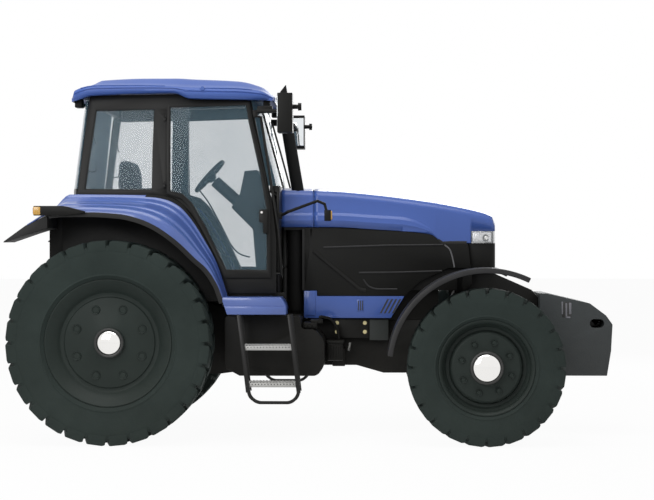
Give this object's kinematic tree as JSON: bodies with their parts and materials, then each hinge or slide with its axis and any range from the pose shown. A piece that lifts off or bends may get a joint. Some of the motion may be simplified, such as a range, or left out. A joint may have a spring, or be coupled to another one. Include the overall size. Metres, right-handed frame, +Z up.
{
  "type": "tractor",
  "caption": "Four-wheel-drive row-crop tractor with a closed cab, rear-hinged doors, tilting hood, steered front wheels, front ballast block and rear hitch.",
  "frame": {"origin": "on the ground, halfway along the machine's length and on its centre line", "axes": "+X forwards, +Y to the tractor's left, +Z up"},
  "size_m": [5.414, 2.74, 3.271],
  "materials": {
    "blue_paint": "gloss",
    "black_paint": "satin",
    "black_plastic": "matte",
    "casting": "painted, matte",
    "tyre": "matte",
    "rim_paint": "satin",
    "glass": "clear",
    "lamp": "clear",
    "tread": "grated",
    "fabric": "woven",
    "ballast": "painted, satin"
  },
  "bodies": {
    "chassis": {"chassis_frame": "casting", "transmission": "casting", "rear_axle": "casting", "engine_block": "casting", "front_axle": "casting", "ballast_block": "ballast", "side_panels": "black_plastic", "lower_shields": "blue_paint", "cowl": "blue_paint", "exhaust": "black_paint", "cab_sides": "black_paint", "cab_frame": "black_paint", "cab_floor": "black_paint", "cab_walls": "black_plastic", "cab_roof": "blue_paint", "work_lamps": "lamp", "cab_glass": "glass", "console": "black_plastic", "seat_base": "black_plastic", "seat_cushions": "fabric", "rear_fenders": "blue_paint", "fender_trims": "black_plastic", "rear_lamps": "black_plastic", "step_frames": "black_paint", "step_treads": "tread", "fuel_tanks": "black_plastic", "mirrors": "black_plastic", "signal_lamps": "black_plastic", "handrails": "black_paint", "drawbar": "casting"},
    "hood": {"hood_shell": "blue_paint", "grille": "black_plastic", "headlamps": "lamp"},
    "door_right": {"door_right": "black_paint", "door_right_glass": "glass"},
    "door_left": {"door_left": "black_paint", "door_left_glass": "glass"},
    "steering_wheel": {"steering_wheel": "black_plastic"},
    "knuckle_right": {"knuckle_right": "casting", "front_fender_right": "black_plastic"},
    "front_wheel_right": {"front_tyre_right": "tyre", "front_rim_right": "rim_paint"},
    "knuckle_left": {"knuckle_left": "casting", "front_fender_left": "black_plastic"},
    "front_wheel_left": {"front_tyre_left": "tyre", "front_rim_left": "rim_paint"},
    "rear_wheel_right": {"rear_tyre_right": "tyre", "rear_rim_right": "rim_paint"},
    "rear_wheel_left": {"rear_tyre_left": "tyre", "rear_rim_left": "rim_paint"},
    "lower_links": {"lower_links": "casting"},
    "lift_arms": {"lift_arms": "casting"},
    "lift_rods": {"lift_rods": "casting"}
  },
  "joints": [
    {"name": "rear_wheel_right_spin", "type": "hinge", "parent": "chassis", "child": "rear_wheel_right", "pos_m": [-1.8, -0.95, 0.9], "axis": [0, 1, 0], "continuous": true},
    {"name": "rear_wheel_left_spin", "type": "hinge", "parent": "chassis", "child": "rear_wheel_left", "pos_m": [-1.8, 0.95, 0.9], "axis": [0, 1, 0], "continuous": true},
    {"name": "steer_left", "type": "hinge", "parent": "chassis", "child": "knuckle_left", "pos_m": [1.5, 0.76, 0.69], "axis": [0, 0, 1], "range_deg": [-40, 40]},
    {"name": "steer_right", "type": "hinge", "parent": "chassis", "child": "knuckle_right", "pos_m": [1.5, -0.76, 0.69], "axis": [0, 0, 1], "range_deg": [-40, 40]},
    {"name": "front_wheel_right_spin", "type": "hinge", "parent": "knuckle_right", "child": "front_wheel_right", "pos_m": [1.5, -0.97, 0.69], "axis": [0, 1, 0], "continuous": true},
    {"name": "front_wheel_left_spin", "type": "hinge", "parent": "knuckle_left", "child": "front_wheel_left", "pos_m": [1.5, 0.97, 0.69], "axis": [0, 1, 0], "continuous": true},
    {"name": "door_right_hinge", "type": "hinge", "parent": "chassis", "child": "door_right", "pos_m": [-1.345, -0.75308, 2.59956], "axis": [0, -0.0523, -0.9986], "range_deg": [0, 60]},
    {"name": "door_left_hinge", "type": "hinge", "parent": "chassis", "child": "door_left", "pos_m": [-1.345, 0.75308, 2.59956], "axis": [0, -0.0523, 0.9986], "range_deg": [0, 60]},
    {"name": "hood_hinge", "type": "hinge", "parent": "chassis", "child": "hood", "pos_m": [-0.0127, 0, 2.228], "axis": [0, -1, 0], "range_deg": [0, 45]},
    {"name": "steering_wheel_turn", "type": "hinge", "parent": "chassis", "child": "steering_wheel", "pos_m": [-1.025, 0, 2.401], "axis": [-0.7431, 0, 0.6691], "continuous": true},
    {"name": "lower_link_lift", "type": "hinge", "parent": "chassis", "child": "lower_links", "pos_m": [-1.9, 0, 0.61], "axis": [0, 1, 0], "range_deg": [-15, 28]},
    {"name": "lift_arm_turn", "type": "hinge", "parent": "chassis", "child": "lift_arms", "pos_m": [-1.96, 0, 1.17], "axis": [0, 1, 0], "range_deg": [-15, 28]},
    {"name": "lift_rod_turn", "type": "hinge", "parent": "lift_arms", "child": "lift_rods", "pos_m": [-2.38, 0, 1.145], "axis": [0, 1, 0], "range_deg": [-28, 15]}
  ],
  "couplings": [
    {"joint": "steer_right", "follows": "steer_left", "ratio": 1},
    {"joint": "lift_arm_turn", "follows": "lower_link_lift", "ratio": 1},
    {"joint": "lift_rod_turn", "follows": "lower_link_lift", "ratio": -1}
  ]
}
